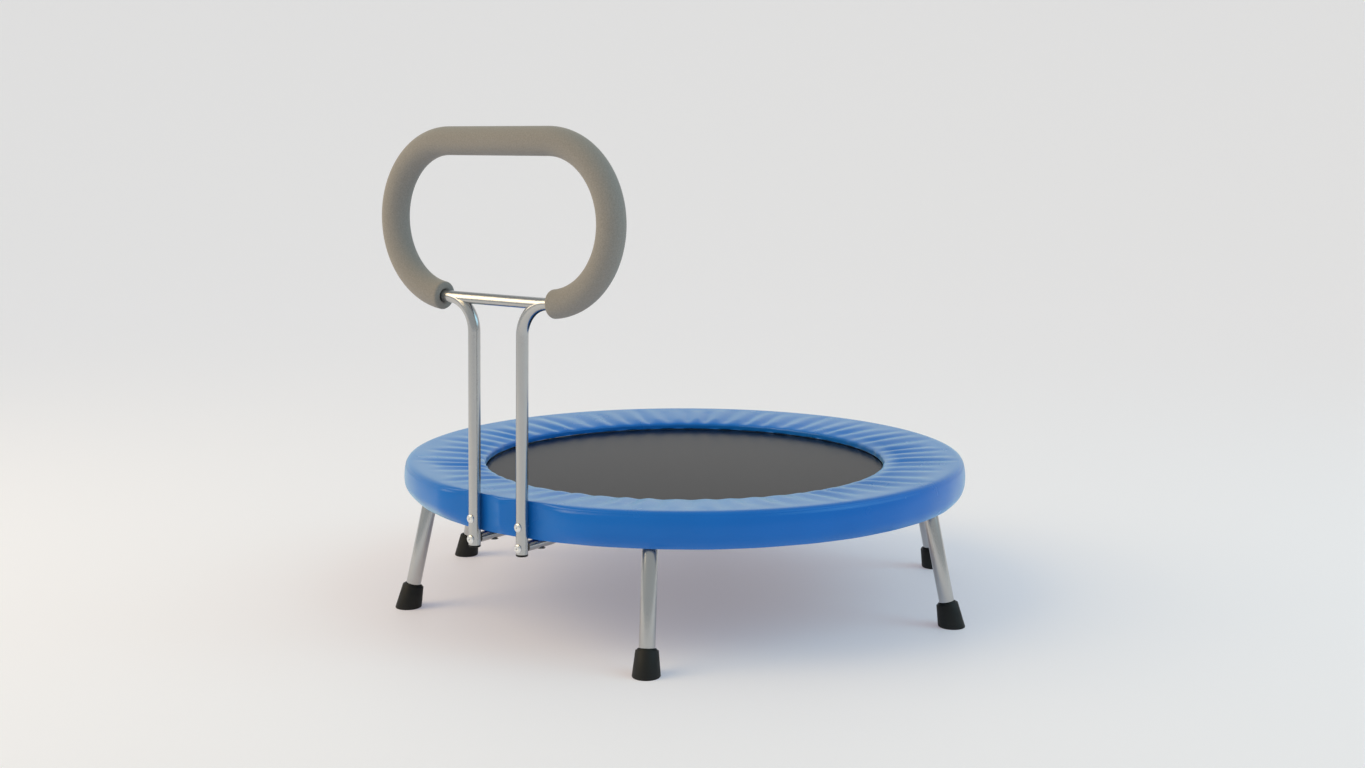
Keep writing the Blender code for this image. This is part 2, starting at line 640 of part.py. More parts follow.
def make_saddle(name, side, plastic, parent):
    # A block between the ring and an arm of the brace, hollowed to the curve of both.
    low, high = BRACE_HEIGHT + BRACE_RADIUS / 2, RING_HEIGHT - TUBE_RADIUS + SADDLE_WRAP
    block = bmesh.new()
    bmesh.ops.create_cube(block, size=1)
    bmesh.ops.scale(block, verts=block.verts[:], vec=(SADDLE_WIDTH, SADDLE_DEPTH, high - low))
    corners = [edge for edge in block.edges if abs((edge.verts[0].co - edge.verts[1].co).z) > GAP]
    bmesh.ops.bevel(block, geom=corners, offset=SADDLE_WRAP, segments=2, affect="EDGES")
    mesh = finished(f"saddle_{name}", block)
    saddle = node(f"saddle_{name}", mesh, plastic, parent, (side, SADDLE_Y, (low + high) / 2))

    seats = bmesh.new()
    ends = [(side, SADDLE_Y + reach * SADDLE_DEPTH, BRACE_HEIGHT) for reach in (-1, 1)]
    add_rod(seats, *ends, (BRACE_RADIUS + GAP) / math.cos(math.pi / HOLE_SIDES))
    bore = bmesh.new()
    ends = [(side, SADDLE_Y, height) for height in (low - SADDLE_WRAP, RING_HEIGHT)]
    add_rod(bore, *ends, BOLT_HOLE_RADIUS)
    ring_seat = turned(tube_section(TUBE_RADIUS + GAP), RING_SEGMENTS, True)
    cuts = (("arm_seat", seats), ("ring_seat", ring_seat), ("bore", bore))
    for cut, bm in cuts:
        boolean(saddle, tool(f"saddle_{cut}_{name}", bm, parent), "DIFFERENCE")


def bolt(name, length):
    # A dome head above the origin and a plain shank below it.
    head = [
        (0, BOLT_HEAD_HEIGHT),
        (0.5 * BOLT_HEAD_RADIUS, 0.87 * BOLT_HEAD_HEIGHT),
        (0.87 * BOLT_HEAD_RADIUS, 0.5 * BOLT_HEAD_HEIGHT),
        (BOLT_HEAD_RADIUS, 0),
        (BOLT_RADIUS, 0),
        (BOLT_RADIUS, -length),
        (0, -length),
    ]
    return finished(name, turned(head, HOLE_SIDES))


def make_bolts(steel, parent):
    # Two bolts through each upright, into the ring above and the brace below, and one up each saddle.
    handle_bolt = bolt("handle_bolt", BOLT_LENGTH)
    outwards = (math.pi / 2, 0, 0)
    for name, side in (("left", -HALF_SPACING), ("right", HALF_SPACING)):
        for level, z in (("upper", RING_HEIGHT), ("lower", BRACE_HEIGHT)):
            place = (side, bolt_seat(z), z)
            node(f"handle_bolt_{level}_{name}", handle_bolt, steel, parent, place, outwards)
    low = BRACE_HEIGHT - BRACE_RADIUS - GAP
    saddle_bolt = bolt("saddle_bolt", saddle_bolt_tip() - low)
    for name, side in (("left", -HALF_SPACING), ("right", HALF_SPACING)):
        place, upwards = (side, SADDLE_Y, low), (math.pi, 0, 0)
        node(f"saddle_bolt_{name}", saddle_bolt, steel, parent, place, upwards)


def centre_on_origin(root):
    # Puts the origin on the floor under the middle of the whole part.
    bpy.context.view_layer.update()
    graph = bpy.context.evaluated_depsgraph_get()
    points = []
    for piece in root.children_recursive:
        if not piece.hide_render:
            shown = piece.evaluated_get(graph)
            points += [shown.matrix_world @ vert.co for vert in shown.data.vertices]
    middle = [(min(p[i] for p in points) + max(p[i] for p in points)) / 2 for i in (0, 1)]
    root.location = (-middle[0], -middle[1], 0)


def main():
    for piece in list(bpy.data.objects):
        bpy.data.objects.remove(piece)
    root = bpy.data.objects.new("trampoline", None)
    bpy.context.scene.collection.objects.link(root)

    polished = material("polished_steel", (0.62, 0.62, 0.63), 0.25, 1.0)
    zinc = material("zinc_steel", (0.55, 0.56, 0.58), 0.4, 1.0)
    rubber = material("black_rubber", (0.02, 0.02, 0.02), 0.6)
    fabric = material("mat_fabric", (0.05, 0.05, 0.055), 0.75)
    webbing = material("black_webbing", (0.015, 0.015, 0.015), 0.85)
    vinyl = material("blue_vinyl", (0.03, 0.13, 0.50), 0.4)
    foam = material("white_foam", (0.75, 0.74, 0.70), 0.9)
    grip = material("grip_foam", (0.26, 0.25, 0.23), 0.95)

    make_ring(zinc, root)
    make_legs(polished, rubber, root)
    make_mat(fabric, webbing, root)
    make_springs(zinc, root)
    make_foam(foam, root)
    make_cover(vinyl, root)
    make_handle(polished, grip, rubber, root)
    make_brace(polished, rubber, root)
    make_bolts(polished, root)
    centre_on_origin(root)


main()
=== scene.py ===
import bpy
import math
from mathutils import Matrix, Vector


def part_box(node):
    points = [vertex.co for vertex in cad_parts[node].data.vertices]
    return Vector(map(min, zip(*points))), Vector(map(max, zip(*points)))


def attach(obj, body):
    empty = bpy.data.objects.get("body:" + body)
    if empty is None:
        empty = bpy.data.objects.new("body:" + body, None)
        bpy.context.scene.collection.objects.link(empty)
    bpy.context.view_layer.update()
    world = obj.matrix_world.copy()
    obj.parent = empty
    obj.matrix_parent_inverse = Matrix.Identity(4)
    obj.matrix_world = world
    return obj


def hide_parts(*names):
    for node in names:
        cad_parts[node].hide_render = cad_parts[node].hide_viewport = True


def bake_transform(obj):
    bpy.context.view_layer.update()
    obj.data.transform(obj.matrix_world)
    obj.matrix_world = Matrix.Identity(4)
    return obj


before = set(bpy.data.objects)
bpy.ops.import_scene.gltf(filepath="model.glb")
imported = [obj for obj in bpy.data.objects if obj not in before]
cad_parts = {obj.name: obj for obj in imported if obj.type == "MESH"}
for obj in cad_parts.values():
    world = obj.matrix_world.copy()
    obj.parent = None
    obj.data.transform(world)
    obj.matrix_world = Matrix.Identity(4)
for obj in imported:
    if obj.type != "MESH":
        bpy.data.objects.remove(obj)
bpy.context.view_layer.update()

# lengths are in metres, and the floor is at height 0
# the middle of the round frame, read from the jumping mat
matLow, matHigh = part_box("mat")
middle = Vector(((matLow.x + matHigh.x) / 2, (matLow.y + matHigh.y) / 2, 0))
matTop = matHigh.z
mergeDistance = 1e-6  # points closer than this are joined
fitGap = 0.0003  # what keeps two pieces that touch from cutting each other


def freshStart():
    if bpy.context.mode != "OBJECT":
        bpy.ops.object.mode_set(mode="OBJECT")
    bpy.ops.object.select_all(action="DESELECT")


def startRing(name, radius, sides, location=(0, 0, 0), rotation=(0, 0, 0)):
    # an open ring of edges to extrude from, left in edit mode with the ring selected
    freshStart()
    bpy.ops.mesh.primitive_circle_add(
        vertices=sides, radius=radius, fill_type="NOTHING", location=location, rotation=rotation,
    )
    made = bpy.context.object
    made.name = made.data.name = name
    bpy.ops.object.transform_apply(location=True, rotation=True, scale=True)
    bpy.ops.object.mode_set(mode="EDIT")
    bpy.ops.mesh.select_all(action="SELECT")
    return made


def pushRing(move, grow=1.0, centre=(0, 0, 0)):
    # extrudes the selected ring, moves it and widens it about the centre
    bpy.ops.mesh.extrude_region_move(TRANSFORM_OT_translate={"value": tuple(move)})
    if abs(grow - 1.0) > 1e-9:  # a resize by one would only cost time
        bpy.ops.transform.resize(value=(grow, grow, 1), center_override=tuple(centre))


def spinOn(steps, angle, centre, axis):
    # carries the selection round an axis through the centre, anticlockwise seen against the axis
    bpy.ops.mesh.spin(steps=steps, angle=-angle, center=tuple(centre), axis=tuple(axis))


def turnProfile(name, points, sides):
    # a ring pushed through (radius, height) points round the Z axis
    radius, height = points[0]
    piece = startRing(name, radius, sides, (0, 0, height))
    for nextRadius, nextHeight in points[1:]:
        pushRing((0, 0, nextHeight - height), nextRadius / radius, (0, 0, nextHeight))
        radius, height = nextRadius, nextHeight
    return piece


def closeUp(piece, ends=True):
    # joins doubled points, fills open ends and turns the faces outwards
    if bpy.context.mode != "EDIT_MESH":
        bpy.ops.object.mode_set(mode="EDIT")
    bpy.ops.mesh.select_all(action="SELECT")
    bpy.ops.mesh.remove_doubles(threshold=mergeDistance)
    if ends:
        bpy.ops.mesh.fill_holes(sides=0)
    bpy.ops.mesh.select_all(action="SELECT")
    bpy.ops.mesh.normals_make_consistent(inside=False)
    bpy.ops.object.mode_set(mode="OBJECT")
    return piece


def bentWire(name, points, radius, corner=0.0, closed=False, detail=3, steps=6):
    # a round wire or tube along straight runs with rounded corners
    freshStart()
    points = [Vector(point) for point in points]
    bpy.ops.mesh.primitive_plane_add(size=0.001, location=points[0])
    made = bpy.context.object
    made.name = name
    bpy.ops.object.transform_apply(location=True, rotation=True, scale=True)
    bpy.ops.object.mode_set(mode="EDIT")
    bpy.ops.mesh.select_all(action="SELECT")
    bpy.ops.mesh.merge(type="CENTER")
    for before, after in zip(points, points[1:] + points[:1] * closed):
        bpy.ops.mesh.extrude_region_move(TRANSFORM_OT_translate={"value": tuple(after - before)})
    bpy.ops.mesh.select_all(action="SELECT")
    bpy.ops.mesh.remove_doubles(threshold=mergeDistance)
    if corner:
        bpy.ops.mesh.bevel(offset=corner, offset_type="OFFSET", segments=steps, affect="VERTICES")
    bpy.ops.object.mode_set(mode="OBJECT")
    bpy.ops.object.convert(target="CURVE")
    made = bpy.context.object
    made.data.bevel_depth = radius
    made.data.bevel_resolution = detail
    made.data.use_fill_caps = True
    bpy.ops.object.convert(target="MESH")
    made = bpy.context.object
    made.name = made.data.name = name
    return closeUp(made, ends=not closed)


def smooth(piece, degrees=35):
    bpy.context.view_layer.objects.active = piece
    piece.select_set(True)
    bpy.ops.object.shade_smooth_by_angle(angle=math.radians(degrees))
    return piece


def useModifier(piece, kind, **settings):
    bpy.context.view_layer.objects.active = piece
    made = piece.modifiers.new(kind.lower(), kind)
    for key, value in settings.items():
        setattr(made, key, value)
    bpy.ops.object.modifier_apply(modifier=made.name)


def softenEdges(piece, width, segments=2, degrees=40):
    limit = math.radians(degrees)
    useModifier(piece, "BEVEL", width=width, segments=segments, limit_method="ANGLE", angle_limit=limit)


def settle(piece, location=(0, 0, 0), rotation=(0, 0, 0)):
    # puts a piece in its place and applies it, so that the object itself stays at the origin
    freshStart()
    piece.location, piece.rotation_euler = location, rotation
    piece.select_set(True)
    bpy.context.view_layer.objects.active = piece
    bpy.ops.object.transform_apply(location=True, rotation=True, scale=True)
    return piece


def copyOf(piece, name):
    freshStart()
    piece.select_set(True)
    bpy.context.view_layer.objects.active = piece
    bpy.ops.object.duplicate()
    made = bpy.context.object
    made.name = made.data.name = name
    return made


def joinAll(name, parts):
    freshStart()
    for part in parts:
        part.select_set(True)
    bpy.context.view_layer.objects.active = parts[0]
    bpy.ops.object.join()
    made = bpy.context.object
    made.name = made.data.name = name
    return made


def dress(piece, material, body="frame", replaces=()):
    piece.data.materials.clear()
    piece.data.materials.append(material)
    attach(piece, body)
    if replaces:
        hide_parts(*replaces)
    return piece


def around(degrees, radius, height=0.0):
    # a point at this angle from the handle, anticlockwise seen from above
    angle = math.radians(degrees)
    return middle + Vector((radius * math.sin(angle), -radius * math.cos(angle), height))


def newMaterial(name, colour, roughness, metallic=0.0):
    made = bpy.data.materials.new(name)
    made.use_nodes = True
    shader = made.node_tree.nodes["Principled BSDF"]
    shader.inputs["Base Color"].default_value = (*colour, 1)
    shader.inputs["Roughness"].default_value = roughness
    shader.inputs["Metallic"].default_value = metallic
    return made, made.node_tree, shader


def noiseOf(tree, scale, detail=2.0):
    place = tree.nodes.new("ShaderNodeTexCoord")
    noise = tree.nodes.new("ShaderNodeTexNoise")
    noise.inputs["Scale"].default_value = scale
    noise.inputs["Detail"].default_value = detail
    tree.links.new(place.outputs["Object"], noise.inputs["Vector"])
    return noise.outputs["Fac"]


def cellsOf(tree, scale):
    place = tree.nodes.new("ShaderNodeTexCoord")
    cells = tree.nodes.new("ShaderNodeTexVoronoi")
    cells.inputs["Scale"].default_value = scale
    tree.links.new(place.outputs["Object"], cells.inputs["Vector"])
    return cells.outputs["Distance"]


def rangeOf(tree, value, low, high, fromLow=0.3, fromHigh=0.7):
    # a noise stays mostly between 0.3 and 0.7, which is stretched to low and high
    step = tree.nodes.new("ShaderNodeMapRange")
    step.inputs["From Min"].default_value = fromLow
    step.inputs["From Max"].default_value = fromHigh
    step.inputs["To Min"].default_value = low
    step.inputs["To Max"].default_value = high
    tree.links.new(value, step.inputs["Value"])
    return step.outputs["Result"]


def colourBy(tree, shader, value, low, high):
    # two shades of the surface, mixed by a pattern
    mix = tree.nodes.new("ShaderNodeMix")
    mix.data_type = "RGBA"
    mix.inputs["A"].default_value = (*low, 1)
    mix.inputs["B"].default_value = (*high, 1)
    tree.links.new(value, mix.inputs["Factor"])
    tree.links.new(mix.outputs["Result"], shader.inputs["Base Color"])


def roughBy(tree, shader, value, low, high, fromLow=0.3, fromHigh=0.7):
    tree.links.new(rangeOf(tree, value, low, high, fromLow, fromHigh), shader.inputs["Roughness"])


def addBump(tree, shader, value, strength, distance, after=None):
    bump = tree.nodes.new("ShaderNodeBump")
    bump.inputs["Strength"].default_value = strength
    bump.inputs["Distance"].default_value = distance
    tree.links.new(value, bump.inputs["Height"])
    if after:
        tree.links.new(after, bump.inputs["Normal"])
    tree.links.new(bump.outputs["Normal"], shader.inputs["Normal"])
    return bump.outputs["Normal"]


def addSheen(shader, weight, roughness, tint):
    shader.inputs["Sheen Weight"].default_value = weight
    shader.inputs["Sheen Roughness"].default_value = roughness
    shader.inputs["Sheen Tint"].default_value = (*tint, 1)


# "plain" is the colour and roughness that a viewer without nodes shows, "press" is a bump's
# strength and depth, and "sheen" its weight, roughness and tint
vinylLook = {
    "plain": ((0.003, 0.142, 0.540), 0.26),
    "deep": (0.003, 0.142, 0.540), "light": (0.005, 0.162, 0.600), "clouds": 6.0,
    "smooth": 0.20, "rough": 0.28, "patches": 14.0, "grain": 1100.0, "press": (0.06, 0.0001),
    "ior": 1.38, "shine": (0.86, 1.0, 1.0), "sheen": (0.60, 0.35, (0.52, 0.92, 1.0)),
}


def vinylMaterial():
    # soft blue vinyl: a fine pressed grain, faint cloudiness and a satin surface
    made, tree, shader = newMaterial("blueVinyl", *vinylLook["plain"])
    clouds = rangeOf(tree, noiseOf(tree, vinylLook["clouds"], 3.0), 0, 1)
    colourBy(tree, shader, clouds, vinylLook["deep"], vinylLook["light"])
    roughBy(tree, shader, noiseOf(tree, vinylLook["patches"], 3.0), vinylLook["smooth"], vinylLook["rough"])
    addBump(tree, shader, cellsOf(tree, vinylLook["grain"]), *vinylLook["press"])
    shader.inputs["IOR"].default_value = vinylLook["ior"]
    shader.inputs["Specular Tint"].default_value = (*vinylLook["shine"], 1)
    addSheen(shader, *vinylLook["sheen"])
    return made


matLook = {
    "plain": ((0.010, 0.010, 0.0105), 0.5),
    "dark": (0.003, 0.003, 0.0031), "pale": (0.005, 0.005, 0.0051), "clouds": 5.0,
    "threads": 160.0, "wander": 0.4, "press": (0.06, 0.0003),
    "smooth": 0.18, "rough": 0.24, "ior": 1.115,
}


def matMaterial():
    # close-woven black polypropylene: warp and weft as two crossed waves
    made, tree, shader = newMaterial("matFabric", *matLook["plain"])
    place = tree.nodes.new("ShaderNodeTexCoord")
    heights = []
    for direction in ("X", "Y"):
        wave = tree.nodes.new("ShaderNodeTexWave")
        wave.bands_direction = direction
        wave.inputs["Scale"].default_value = matLook["threads"]
        wave.inputs["Distortion"].default_value = matLook["wander"]
        tree.links.new(place.outputs["Object"], wave.inputs["Vector"])
        heights.append(wave.outputs["Fac"])
    weave = tree.nodes.new("ShaderNodeMath")
    weave.operation = "MULTIPLY"
    tree.links.new(heights[0], weave.inputs[0])
    tree.links.new(heights[1], weave.inputs[1])
    addBump(tree, shader, weave.outputs["Value"], *matLook["press"])
    shader.inputs["IOR"].default_value = matLook["ior"]
    clouds = rangeOf(tree, noiseOf(tree, matLook["clouds"], 3.0), 0, 1)
    colourBy(tree, shader, clouds, matLook["dark"], matLook["pale"])
    roughBy(tree, shader, weave.outputs["Value"], matLook["smooth"], matLook["rough"], 0, 1)
    return made


webbingLook = {
    "plain": ((0.012, 0.012, 0.013), 0.8), "dark": (0.008, 0.008, 0.009), "pale": (0.022, 0.022, 0.024),
    "threads": 300.0, "fuzz": 700.0, "press": (0.5, 0.0005),
}


def webbingMaterial():
    made, tree, shader = newMaterial("blackWebbing", *webbingLook["plain"])
    addBump(tree, shader, noiseOf(tree, webbingLook["fuzz"]), *webbingLook["press"])
    colourBy(tree, shader, noiseOf(tree, webbingLook["threads"]), webbingLook["dark"], webbingLook["pale"])
    return made


# each finish has its colour and its roughness
steelLook = {
    "polishedSteel": ((0.51, 0.51, 0.505), 0.22), "boltSteel": ((0.80, 0.80, 0.79), 0.30),
    "zincSteel": ((0.50, 0.51, 0.52), 0.24), "smoother": 0.015, "rougher": 0.02, "patches": 40.0,
    "scratches": 900.0, "press": (0.02, 0.00001), "shade": 0.94, "clouds": 9.0,
}


def steelMaterial(name):
    # drawn steel, slightly cloudy, with hair-fine polishing marks
    colour, roughness = steelLook[name]
    made, tree, shader = newMaterial(name, colour, roughness, 1.0)
    low, high = roughness - steelLook["smoother"], roughness + steelLook["rougher"]
    roughBy(tree, shader, noiseOf(tree, steelLook["patches"]), low, high)
    addBump(tree, shader, noiseOf(tree, steelLook["scratches"]), *steelLook["press"])
    shade = tuple(steelLook["shade"] * part for part in colour)
    colourBy(tree, shader, noiseOf(tree, steelLook["clouds"], 3.0), shade, colour)
    return made


rubberLook = {
    "blackRubber": ((0.007, 0.0075, 0.007), 0.55), "blackPlastic": ((0.004, 0.004, 0.004), 0.55),
    # the saddles' dark blue is a painted reflection of the blue lining that shows beside the uprights, not
    # a known colour of the part
    "paintedReflectionBlue": ((0.003, 0.055, 0.290), 0.45), "smoother": 0.08, "rougher": 0.10, "patches": 60.0,
    "specks": 1400.0, "press": (0.18, 0.0003), "dust": 1.7, "dustMost": 0.8, "dustSize": 25.0, "shine": 0.3,
}


def rubberMaterial(name):
    # moulded rubber or plastic with a trace of dust
    colour, roughness = rubberLook[name]
    made, tree, shader = newMaterial(name, colour, roughness)
    low, high = roughness - rubberLook["smoother"], roughness + rubberLook["rougher"]
    roughBy(tree, shader, noiseOf(tree, rubberLook["patches"], 4.0), low, high)
    addBump(tree, shader, noiseOf(tree, rubberLook["specks"], 3.0), *rubberLook["press"])
    dusty = tuple(rubberLook["dust"] * part for part in colour)
    dust = rangeOf(tree, noiseOf(tree, rubberLook["dustSize"], 5.0), 0, rubberLook["dustMost"])
    colourBy(tree, shader, dust, colour, dusty)
    shader.inputs["Specular IOR Level"].default_value = rubberLook["shine"]
    return made


gripLook = {
    "plain": ((0.23, 0.21, 0.19), 0.9), "dark": (0.245, 0.232, 0.212), "pale": (0.300, 0.283, 0.260),
    "speckle": 500.0, "pores": 650.0, "porePress": (0.35, 0.0004), "lumps": 220.0,
    "lumpPress": (0.25, 0.0008), "shine": 0.2, "sheen": (0.3, 0.5, (1.0, 0.93, 0.85)),
}


def gripMaterial():
    # closed-cell foam sleeve: matt, with fine pores
    made, tree, shader = newMaterial("gripFoamSkin", *gripLook["plain"])
    pores = addBump(tree, shader, cellsOf(tree, gripLook["pores"]), *gripLook["porePress"])
    addBump(tree, shader, noiseOf(tree, gripLook["lumps"], 4.0), *gripLook["lumpPress"], pores)
    speckle = rangeOf(tree, noiseOf(tree, gripLook["speckle"], 3.0), 0, 1)
    colourBy(tree, shader, speckle, gripLook["dark"], gripLook["pale"])
    shader.inputs["Specular IOR Level"].default_value = gripLook["shine"]
    addSheen(shader, *gripLook["sheen"])
    return made


foamLook = {
    "plain": ((0.62, 0.61, 0.58), 0.9), "dark": (0.55, 0.54, 0.51), "pale": (0.68, 0.67, 0.64),
    "clouds": 90.0, "pores": 380.0, "press": (0.3, 0.0008),
}


def foamMaterial():
    made, tree, shader = newMaterial("whiteFoam", *foamLook["plain"])
    addBump(tree, shader, noiseOf(tree, foamLook["pores"], 4.0), *foamLook["press"])
    colourBy(tree, shader, noiseOf(tree, foamLook["clouds"], 3.0), foamLook["dark"], foamLook["pale"])
    return made


print("materials")
vinyl = vinylMaterial()
matFabric = matMaterial()
webbing = webbingMaterial()
polished, boltSteel, zinc = map(steelMaterial, ("polishedSteel", "boltSteel", "zincSteel"))
rubber, plastic, paintedReflectionBlue = map(rubberMaterial, ("blackRubber", "blackPlastic", "paintedReflectionBlue"))
gripSkin = gripMaterial()
foam = foamMaterial()

ring = {"radius": 0.448, "height": 0.2137, "tube": 0.0125, "sides": 24, "segments": 180}


def makeFrameRing(more=0.0):
    # the frame's tube, or one that much thicker to hollow a saddle with
    freshStart()
    bpy.ops.mesh.primitive_torus_add(
        major_radius=ring["radius"], minor_radius=ring["tube"] + more,
        major_segments=ring["segments"], minor_segments=ring["sides"],
        location=(middle.x, middle.y, ring["height"]),
    )
    made = bpy.context.object
    made.name = made.data.name = "frameRing"
    return made


legs = {
    "angles": (-39.3, 29.8, 99.6, 146.0, 209.8, 276.9),
    "splay": math.radians(12.5),
    "radius": 0.0125, "wall": 0.0012, "edgeRound": 0.0003, "sole": 0.012, "sides": 48,
    "studRadius": 0.0107, "studLength": 0.040, "studSides": 32, "weld": 0.0022, "weldToe": 0.0006,
}
foot = {
    "height": 0.040, "topRadius": 0.018, "baseRadius": 0.0222, "topRound": 0.0014,
    "lip": 0.0022, "toeRound": 0.0022, "soleGap": 0.0004, "sides": 64,
}
axisLength = ring["height"] / math.cos(legs["splay"])


def makeLeg():
    # a straight tube hanging down from the ring's centreline, with a visible wall at both ends
    top, bottom = -(ring["tube"] + fitGap), -(axisLength - legs["sole"])
    made = startRing("leg", legs["radius"], legs["sides"], (0, 0, top))
    pushRing((0, 0, bottom - top))
    closeUp(made, ends=False)
    useModifier(made, "SOLIDIFY", thickness=legs["wall"], offset=-1)
    softenEdges(made, legs["edgeRound"])
    return made


def makeStud():
    # the welded stud that a leg is pushed on, with a small weld bead round its root
    radius, tube = legs["studRadius"], ring["tube"]
    out = radius + legs["weld"]
    points = [
        (out, -tube * 0.2), (out, -tube * 0.86), (radius + legs["weldToe"], -tube),
        (radius, -tube - 0.0002), (radius, -tube - legs["studLength"]),
    ]
    return closeUp(turnProfile("stud", points, legs["studSides"]))


def makeFoot():
    # a tapered ferrule with a raised lip round its socket, cut flat where it meets the floor
    floor = -axisLength
    top = floor + foot["height"]
    lean = foot["baseRadius"] * math.tan(legs["splay"])
    past = 1.5  # the side runs on past the floor by this share of the lean, and is cut off below
    flare = (foot["baseRadius"] - foot["topRadius"]) / foot["height"]
    socket, lip, side, turn = legs["radius"] + fitGap, foot["lip"], foot["topRadius"], foot["topRound"]
    points = [
        (socket, floor + legs["sole"] - foot["soleGap"]), (socket, top + lip * 0.6),
        (socket + 0.0005, top + lip * 0.9), (socket + 0.0014, top + lip), (socket + lip, top + lip * 0.7),
        (socket + lip * 1.2, top + 0.0003), (side - turn, top), (side - 0.0005, top - 0.0004),
        (side, top - turn), (foot["baseRadius"] + flare * past * lean, floor - past * lean),
    ]
    made = closeUp(turnProfile("foot", points, foot["sides"]))
    bpy.ops.object.mode_set(mode="EDIT")
    bpy.ops.mesh.select_all(action="SELECT")
    up = (math.sin(legs["splay"]), 0, math.cos(legs["splay"]))
    bpy.ops.mesh.bisect(plane_co=(0, 0, floor), plane_no=up, clear_inner=True, use_fill=True)
    bpy.ops.object.mode_set(mode="OBJECT")
    softenEdges(made, foot["toeRound"], 4, 60)
    return made


def placeLegs():
    leg, stud, sole = makeLeg(), makeStud(), makeFoot()
    studs = []
    for number, degrees in enumerate(legs["angles"], 1):
        place = around(degrees, ring["radius"], ring["height"])
        turn = (0, -legs["splay"], math.radians(degrees - 90))
        newLeg = settle(copyOf(leg, f"legTube{number}"), place, turn)
        dress(smooth(newLeg), polished, replaces=(f"leg_{number}",))
        newFoot = settle(copyOf(sole, f"rubberFoot{number}"), place, turn)
        dress(smooth(newFoot, 30), rubber, replaces=(f"foot_{number}",))
        studs.append(settle(copyOf(stud, f"stud{number}"), place, turn))
    for source in (leg, stud, sole):
        bpy.data.objects.remove(source)
    return studs


spring = {
    "count": 24, "hole": 0.443, "length": 0.066, "coil": 0.0045, "wire": 0.0011, "hook": 0.0036,
    "tail": 0.0085, "bend": 0.0022, "height": 0.2276, "inset": 0.016, "pitch": 0.00232,
    "hookGap": 0.00043, "overlap": 0.001, "sides": 8, "steps": 14, "hookSteps": 12, "bendSteps": 6,
}
ringTip = spring["hole"] - spring["length"]


def makeSpring():
    # one tension spring lying along X: a close coil, a hook at the mat and a tail at the frame
    wire, sides, overlap, bend = spring["wire"], spring["sides"], spring["overlap"], spring["bend"]
    hookX, high = ringTip + spring["hookGap"], spring["coil"] - wire
    first, last = hookX + 2 * spring["hook"], spring["hole"] - spring["inset"]
    upright = (0, math.pi / 2, 0)
    hook = startRing("springHook", wire, sides, (hookX, 0, -spring["hook"]), upright)
    spinOn(spring["hookSteps"], math.pi, (hookX, 0, 0), (0, 1, 0))
    pushRing((first - hookX + overlap, 0, high - spring["hook"]))
    closeUp(hook)
    coil = startRing("springCoil", wire, sides, (first, 0, high), (math.pi / 2, 0, 0))
    bpy.ops.object.mode_set(mode="OBJECT")
    turns = int((last - first) / spring["pitch"])
    useModifier(
        coil, "SCREW", axis="X", screw_offset=spring["pitch"], iterations=turns,
        steps=spring["steps"], render_steps=spring["steps"], use_merge_vertices=False,
    )
    closeUp(coil)
    end = first + turns * spring["pitch"]
    tail = startRing("springTail", wire, sides, (end - overlap, 0, high), upright)
    pushRing((spring["hole"] - bend - end + overlap, 0, 0))
    spinOn(spring["bendSteps"], math.pi / 2, (spring["hole"] - bend, 0, high - bend), (0, 1, 0))
    pushRing((0, 0, bend - high - spring["tail"]))
    closeUp(tail)
    return settle(joinAll("spring", [hook, coil, tail]), (0, 0, spring["height"]))


def placeSprings():
    # each spring runs between the frame and the mat, which stretches it when it goes down
    source = makeSpring()
    for number in range(1, spring["count"] + 1):
        degrees = 360 * (number - 0.5) / spring["count"]
        made = settle(copyOf(source, f"coilSpring{number:02d}"), middle, (0, 0, math.radians(degrees - 90)))
        made.data.materials.clear()
        made.data.materials.append(zinc)
        smooth(made, 60)
        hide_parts(f"spring_{number:02d}")
        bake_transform(made)
    bpy.data.objects.remove(source)


mat = {
    "radius": 0.3582, "thickness": 0.0012, "edgeIn": 0.0004, "edgeDown": 0.0003, "sides": 240,
    "circles": (0.004, 0.05, 0.1, 0.15, 0.2, 0.25, 0.3, 0.327, 0.329, 0.345),
    "hem": 0.3655, "hemWidth": 0.025, "hemThickness": 0.0034, "hemFold": 0.8,
    "ringWire": 0.0015, "ringCorner": 0.0022, "ringSewn": 0.008, "ringNarrow": 0.003, "ringWide": 0.012,
}


def makeJumpMat():
    # the woven disc, with a soft edge where it is folded over
    top, low, radius = matTop, matTop - mat["thickness"], mat["radius"]
    circles = [*mat["circles"], radius - mat["edgeIn"]]
    points = [(circle, top) for circle in circles]
    points += [(radius, top - mat["edgeDown"]), (radius, low + mat["edgeDown"])]
    points += [(circle, low) for circle in reversed(circles)]
    made = closeUp(turnProfile("jumpMat", points, mat["sides"]))
    return smooth(settle(made, middle), 40)


def makeMatHem():
    # the webbing band under the mat's edge, with its rounded folds
    half, inner, outer = mat["hemThickness"] / 2, mat["hem"] - mat["hemWidth"], mat["hem"]
    fold = half * mat["hemFold"]
    points = [
        (inner + fold, half), (inner + 0.2 * fold, half - fold * 0.4), (inner, half - fold),
        (inner, fold - half), (inner + 0.2 * fold, 0.4 * fold - half), (inner + fold, -half),
        (outer - fold, -half), (outer - 0.2 * fold, 0.4 * fold - half), (outer, fold - half),
        (outer, half - fold), (outer - 0.2 * fold, half - 0.4 * fold), (outer - fold, half),
        (inner + fold, half),
    ]
    made = closeUp(turnProfile("matHem", points, mat["sides"]), ends=False)
    return smooth(settle(made, middle + Vector((0, 0, spring["height"]))), 60)


